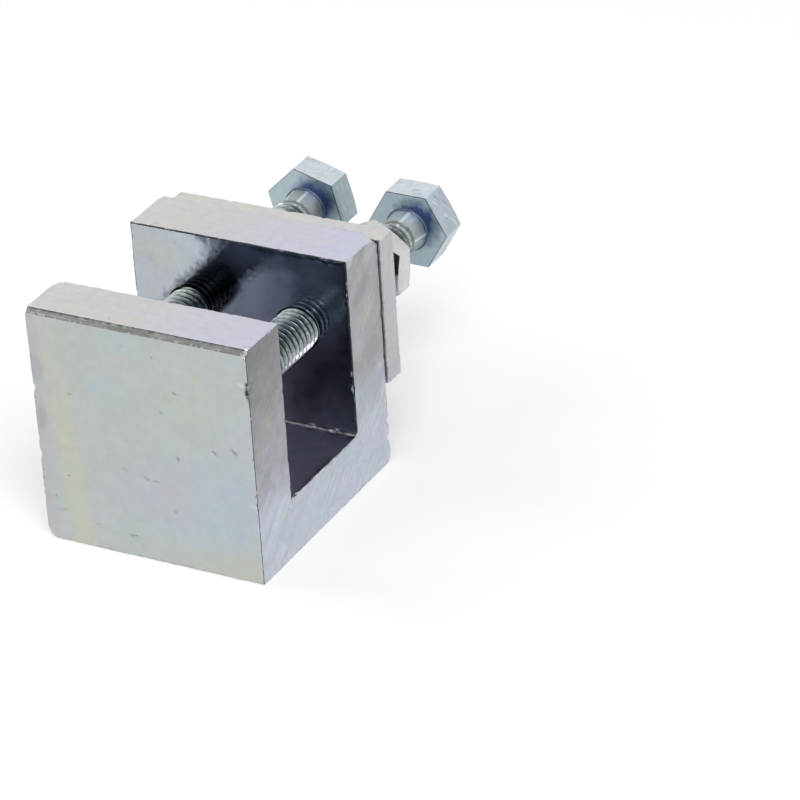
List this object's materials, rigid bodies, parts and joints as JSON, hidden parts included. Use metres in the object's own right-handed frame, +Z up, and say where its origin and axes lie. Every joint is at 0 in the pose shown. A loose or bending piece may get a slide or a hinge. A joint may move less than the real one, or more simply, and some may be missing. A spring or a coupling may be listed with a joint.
{
  "type": "screw-type earthing clamp",
  "caption": "Plated steel U block with a jaw, a rear plate and hexagon-head set screws with nuts, for bonding an earth conductor to a flange.",
  "frame": {"origin": "centre of the block's underside", "axes": "+Z up, +Y from the front jaw towards the screw heads, +X to the right seen from the jaw"},
  "size_m": [0.0317, 0.0608, 0.0327],
  "materials": {
    "block": "sawn and milled steel, thin bright zinc plating with yellow and blue tints",
    "plate": "sawn steel, bright zinc plating",
    "screws": "bright blue-tinted zinc plating",
    "nuts": "bright zinc plating"
  },
  "bodies": {
    "block": {"u_body": "block"},
    "plate": {"clamp_plate": "plate"},
    "left_set_screw": {"left_screw": "screws"},
    "right_set_screw": {"right_screw": "screws"},
    "left_lock_nut": {"left_nut": "nuts"},
    "right_lock_nut": {"right_nut": "nuts"}
  },
  "joints": [
    {"name": "left_screw_feed", "type": "slide", "parent": "block", "child": "left_set_screw", "axis": [0, 1, 0], "range_m": [-0.008, 0.009]},
    {"name": "right_screw_feed", "type": "slide", "parent": "block", "child": "right_set_screw", "axis": [0, 1, 0], "range_m": [-0.007, 0.009]},
    {"name": "plate_slide", "type": "slide", "parent": "block", "child": "plate", "axis": [0, 1, 0], "range_m": [0, 0.003]},
    {"name": "left_nut_feed", "type": "slide", "parent": "plate", "child": "left_lock_nut", "axis": [0, 1, 0], "range_m": [0, 0.004]},
    {"name": "right_nut_feed", "type": "slide", "parent": "block", "child": "right_lock_nut", "axis": [0, 1, 0], "range_m": [-0.003, 0.001]}
  ]
}
